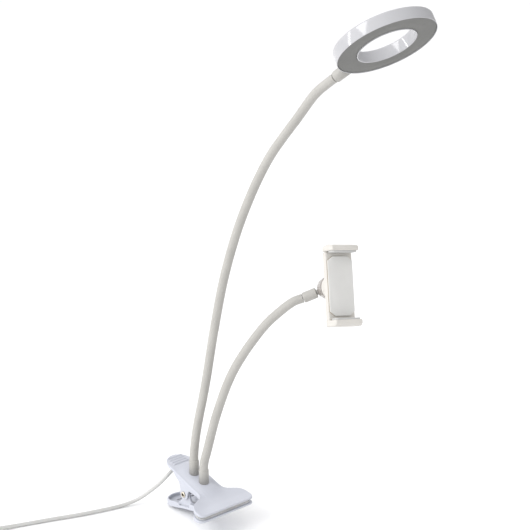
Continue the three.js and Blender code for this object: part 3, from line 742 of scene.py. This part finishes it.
def make_clamp_body(clamp, white):
    width, plate_width = CLAMP_HALF_WIDTH, PLATE_HALF_WIDTH
    plate_outline = box_outline(-plate_width, plate_width, FOOT_TOP - 1, JAW_UNDERSIDE - 0.3, 1.4)
    plate = slab("plate", plate_outline, 16.2, 21.4, 1.1, clamp, white, None)
    side = framed(clamp.translation, clamp.to_3x3() @ Vector((1, 0, 0)), clamp.to_3x3() @ Vector((0, 1, 0)))
    foot_outline = fillet([(-36.2, 15.8, 1.6), (FOOT_TOP, 15.8, 0.8), (FOOT_TOP, 33.2, 1.1),
                           (-33.6, 33.4, 2.8), (-36.2, 31.2, 2.4)], 1.1, steps=6)
    foot = slab("foot", foot_outline, -width, width, 1.5, side, white, None)
    channel = block("channel", clamp, -8.2, 8.2, FOOT_TOP + 1, 40, 17.6, 20.2)
    fuse_then_carve("clamp_back", [plate, foot], channel, white, "holder", ("holder_back",))

    jaw_outline = fillet([(JAW_UNDERSIDE, 15.8, 0.8), (35.6, 15.8, 1.6), (36.9, 24.5, 9), (35.4, 33.2, 2.4),
                          (JAW_UNDERSIDE, 33.2, 1.1)], 1.1, steps=8)
    bar = slab("bar", jaw_outline, -width, width, 1.5, side, white, None)
    tongue = slab("tongue", box_outline(-7.8, 7.8, -7.2, 32, 0.8), 17.9, 19.9, 0.4, clamp, white, None)
    fuse("clamp_jaw", [bar, tongue], white, "jaw", ("sliding_jaw",))

    octagon = fillet([(-7.5, -26.5), (7.5, -26.5), (13, -22.5), (13, 22.6), (7.5, 26.6), (-7.5, 26.6),
                      (-13, 22.6), (-13, -22.5)], 0.9, steps=5)
    slab("front_pad", octagon, 21.75, 22.9, 0.45, clamp, LOOKS["holder_pad"], "holder", ("holder_front_pad",))
    # A thin brown sheet just under the pad's edge, drawn as tape, paints the shadow line where the pad meets
    # the back.
    slab("front_pad_shade_tape", inset(octagon, -0.12), 21.38, 21.78, 0.08, clamp, LOOKS["pad_gap_shade"], "holder", ())
    for name, y0, y1, body, node in (("foot_rubber", -30.05, -28.6, "holder", "lower_jaw_rubber"),
                                     ("jaw_rubber", 29.4, 30.85, "jaw", "upper_jaw_rubber")):
        flat = framed(clamp.translation, clamp.to_3x3() @ Vector((0, 1, 0)), CLAMP_FACE)
        slab(name, box_outline(23.2, 32, -12.5, 12.5, 1.6), y0, y1, 0.4, flat, LOOKS["rubber"], body, (node,))


def fuse_then_carve(name, pieces, cutter, look, body, replaces):
    shell = fuse(name, pieces, look, None)
    carve(shell, cutter)
    mesh = shell.data
    bpy.data.objects.remove(shell)
    mesh.name = name
    add_mesh(name, mesh, look, body, replaces)
    sharpen(mesh, 45)


# ---------- cord, switch and plug ----------
CORD_RADIUS = 1.75
CORD_Z = -24 + CORD_RADIUS
CORD_TO_SWITCH = [(-64.8, -6.6, 15.4), (-65.2, -8, 15.35), (-66.1, -11, 13.3), (-66.8, -15, 10),
                  (-73.9, -18.8, 0.6), (-82.6, -24.6, -9.4), (-89.9, -31.6, -17.4), (-94.2, -40, -21),
                  (-97, -50, CORD_Z), (-100.6, -65, CORD_Z), (-107.5, -88, CORD_Z), (-117.6, -115, CORD_Z),
                  (-127, -142, CORD_Z), (-133, -161, CORD_Z + 0.8), (-137.3, -173.5, CORD_Z + 1.8)]
COIL_CENTRE = (-187, -231.5)
COIL_TURNS = (28, 24.5, 21, 17.5, 14)
COIL_START = -19
COIL_LIFT = 0.8
POINTS_PER_TURN = 18
SWITCH_START = Vector((-137.4, -173.8, -24)) * MM
SWITCH_HEADING = Vector((-0.325, -0.946, 0)).normalized()
SWITCH_LENGTH = 46
SWITCH_RADIUS = 7
BUTTON_SPOTS = (12, 23, 34)
PLUG_START = Vector((-200, -198, -20.1)) * MM
PLUG_HEADING = Vector((0.5, 0.866, 0)).normalized()


def coil_points():
    """Five turns wound inwards on the floor, then five outwards on top of them, clockwise from above."""
    low = CORD_Z + COIL_LIFT
    turns = [(r, low) for r in COIL_TURNS] + [(r, low + 2 * CORD_RADIUS) for r in reversed(COIL_TURNS)]
    leave = 150
    points = []
    for k, (radius, height) in enumerate(turns):
        next_radius, next_height = turns[k + 1] if k + 1 < len(turns) else (radius, height)
        for j in range(POINTS_PER_TURN):
            share = j / POINTS_PER_TURN
            angle = COIL_START - 360 * share
            if k == len(turns) - 1 and angle < leave - 360:
                return points
            shift = ease((share - 0.78) / 0.22)
            r = radius + (next_radius - radius) * shift
            z = height + (next_height - height) * shift
            points.append((COIL_CENTRE[0] + r * math.cos(math.radians(angle)),
                           COIL_CENTRE[1] + r * math.sin(math.radians(angle)), z))
    return points


def make_cord():
    through = [(-141.0, -184.3, CORD_Z + 1.1), (-144.8, -195.3, CORD_Z + 0.9), (-148.4, -205.9, CORD_Z + 1.1),
               (-152.4, -217.4, CORD_Z + 1.9), (-155.6, -226.5, CORD_Z + 1.2),
               (-158.6, -235, CORD_Z + COIL_LIFT)]
    coil = coil_points()
    onward = [(-207.4, -210.6, coil[-1][2] - 0.5), (-203.9, -204.6, CORD_Z + 2.8),
              (-201.1, -199.8, CORD_Z + 2.2), (-199.5, -197.1, CORD_Z + 2.15)]
    points = mm(CORD_TO_SWITCH + through + coil + onward)
    data = bpy.data.curves.new("cord", "CURVE")
    data.dimensions = "3D"
    data.bevel_depth = CORD_RADIUS * MM
    data.bevel_resolution = 5
    data.resolution_u = 6
    data.use_fill_caps = True
    spline = data.splines.new("BEZIER")
    spline.bezier_points.add(len(points) - 1)
    for knot, point in zip(spline.bezier_points, points):
        knot.co = point
        knot.handle_left_type = knot.handle_right_type = "AUTO"
    data.materials.append(LOOKS["cord"])
    cord = bpy.data.objects.new("cord", data)
    bpy.context.scene.collection.objects.link(cord)
    settle(cord, "clip", ("cord_lead", "cord_coil", "cord_to_coil", "cord_to_plug"))
    return cord


def relief(name, start, heading, profile, replaces=()):
    place = framed(start, heading, (0, 0, 1))
    turned(name, profile, place, LOOKS["cord"], "clip", replaces, 40)


def ribbed_relief(wide, narrow, length, rings):
    """A tapered sleeve with grooves round it, so that it bends."""
    points = [(0, -1.0), (wide, -1.0), (wide, 0.6)]
    for i in range(rings):
        z = 1.2 + (length - 2.2) * i / rings
        pitch = (length - 2.2) / rings
        r = wide + (narrow - wide) * z / length
        points += [(r, z), (r - 0.1, z + 0.45 * pitch), (r - 0.55, z + 0.55 * pitch),
                   (r - 0.55, z + 0.85 * pitch)]
    return points + [(narrow, length - 0.8), (narrow - 0.15, length), (0, length)]


def make_switch():
    case = framed(SWITCH_START, (0, 0, 1), SWITCH_HEADING)
    outline = []
    for x, first in ((SWITCH_LENGTH - SWITCH_RADIUS, -90), (SWITCH_RADIUS, 90)):
        for turn in range(0, 181, 9):
            angle = math.radians(first + turn)
            outline.append((x + SWITCH_RADIUS * math.cos(angle), SWITCH_RADIUS * math.sin(angle)))
    slab("switch_lower_case", outline, 0.1, 3.65, 0.8, case, LOOKS["cord"], "clip", ("switch_base",))
    cover = slab("switch_upper_case", outline, 3.85, 8.6, 1.8, case, LOOKS["cord"], None, steps=8)
    wells = []
    spots = [case @ Matrix.Translation((x * MM, 0, 0)) for x in BUTTON_SPOTS]
    for spot in spots:
        well = [(0, 5), (2.9, 5), (2.9, 12), (0, 12)]
        wells.append(turned("well", well, spot, LOOKS["cord"], None, segments=48))
    carve(cover, *wells)
    sharpen(cover.data, 40)
    settle(cover, "clip", ("switch_cover",))
    cap = fillet([(0, 6.2, 0), (2.6, 6.2, 0.1), (2.6, 9.25, 0.5), (0, 9.6, 0)], 0.3, closed=False, steps=6)
    for i, spot in enumerate(spots, 1):
        turned(f"button_cap_{i}", cap, spot, LOOKS["button_grey"], f"button_{i}", (f"switch_button_{i}",),
               48)
    near = SWITCH_START + Vector((0, 0, (CORD_Z + 1.9 + 24) * MM))
    far = near + SWITCH_HEADING * SWITCH_LENGTH * MM
    relief("switch_relief_1", near, -SWITCH_HEADING, ribbed_relief(2.9, 2.1, 9, 3))
    relief("switch_relief_2", far, SWITCH_HEADING, ribbed_relief(2.9, 2.1, 8, 3))


def make_plug():
    plug = framed(PLUG_START, (0, 0, 1), PLUG_HEADING)
    slab("plug_grip", box_outline(0, 22, -7.5, 7.5, 2.4), -3.8, 3.8, 1.5, plug, LOOKS["cord"], "clip",
         ("plug_body",), steps=6)
    shell = slab("plug_tube", box_outline(21.6, 34.3, -6, 6, 0.5), -2.25, 2.25, 0.5, plug, LOOKS["steel"],
                 None)
    cuts = [block("hollow", plug, 24, 36, -5.55, 5.55, -1.8, 1.8)]
    for y in (-2.9, 2.9):
        cuts.append(block("window", plug, 28.2, 30.4, y - 1.1, y + 1.1, 1, 4))
    carve(shell, *cuts)
    sharpen(shell.data, 35)
    settle(shell, "clip", ("plug_shell",))
    slab("plug_tongue", box_outline(23.6, 33.2, -5.4, 5.4, 0.3), -1.75, 0.1, 0.15, plug, LOOKS["board"],
         "clip", ())
    relief("plug_relief", PLUG_START, -PLUG_HEADING, ribbed_relief(3.1, 2.1, 11, 4))


def make_tie():
    """A soft strap round the wound cord."""
    middle = Vector((COIL_CENTRE[0], COIL_CENTRE[1] - 21, -24 + COIL_LIFT + 3.5)) * MM
    place = framed(middle, (1, 0, 0), (0, 1, 0))
    centre = box_outline(-9.1, 9.1, -3.95, 3.95, 2.2, steps=7)
    verts, faces = [], []
    half, thick = 3.0, 0.35
    for gap, z in ((-thick, -half), (thick, -half), (thick, half), (-thick, half)):
        verts += [place @ Vector((x * MM, y * MM, z * MM)) for x, y in inset(centre, gap)]
    count = len(centre)
    for ring in range(4):
        for i in range(count):
            j = (i + 1) % count
            other = (ring + 1) % 4
            faces.append((ring * count + i, ring * count + j, other * count + j, other * count + i))
    strap = add_piece("tie_strap", verts, faces, LOOKS["rubber"], "clip", ("coil_tie",))
    face_out(strap.data)
    sharpen(strap.data, 40)


def make_leads():
    exit_point = Vector(CORD_TO_SWITCH[0]) * MM
    heading = Vector((-0.28, -0.96, -0.03)).normalized()
    profile = fillet([(0, -4.8, 0), (2.4, -4.8, 0.2), (2.4, -1.5, 0.5), (1.95, 1.2, 0.1), (1.8, 1.5, 0),
                      (0, 1.5, 0)], 0.3, closed=False)
    relief("cord_sleeve", exit_point, heading, profile, ("cord_grommet",))
    lead = Path(mm([(-63.2, -1.3, 15.5), (-62.4, 0.4, 15.2), (-58.5, 1.2, 13.2), (-51.5, -0.4, 8.8),
                    (-46.5, -1.2, 6.3), (-43, -0.2, 6.1)]), 30)
    runs = [lead.length * i / 60 for i in range(61)]
    tube("inner_wire", lead, 0.9, 16, runs, LOOKS["cord"], "clip", ("inner_lead",))


def dress_hidden_nodes():
    """CAD nodes that stay as they are get a finished material too."""
    for node, slot in (("ball_seat", "rubber"), ("ball_liner", "rubber"), ("clamp_spring", "steel"),
                       ("led_board", "board"), ("ring_sleeve_nut", "steel")):
        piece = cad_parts[node]
        piece.data.materials.clear()
        piece.data.materials.append(LOOKS[slot])


make_camera()
make_floor()
make_world()
make_lights()
cord_curve = make_cord()
make_clip()
make_bases()
make_neck("long", LONG_PATH, LONG_FLEX)
make_neck("short", SHORT_PATH, SHORT_FLEX)
make_ring()
make_holder()
make_switch()
make_plug()
make_tie()
make_leads()
dress_hidden_nodes()
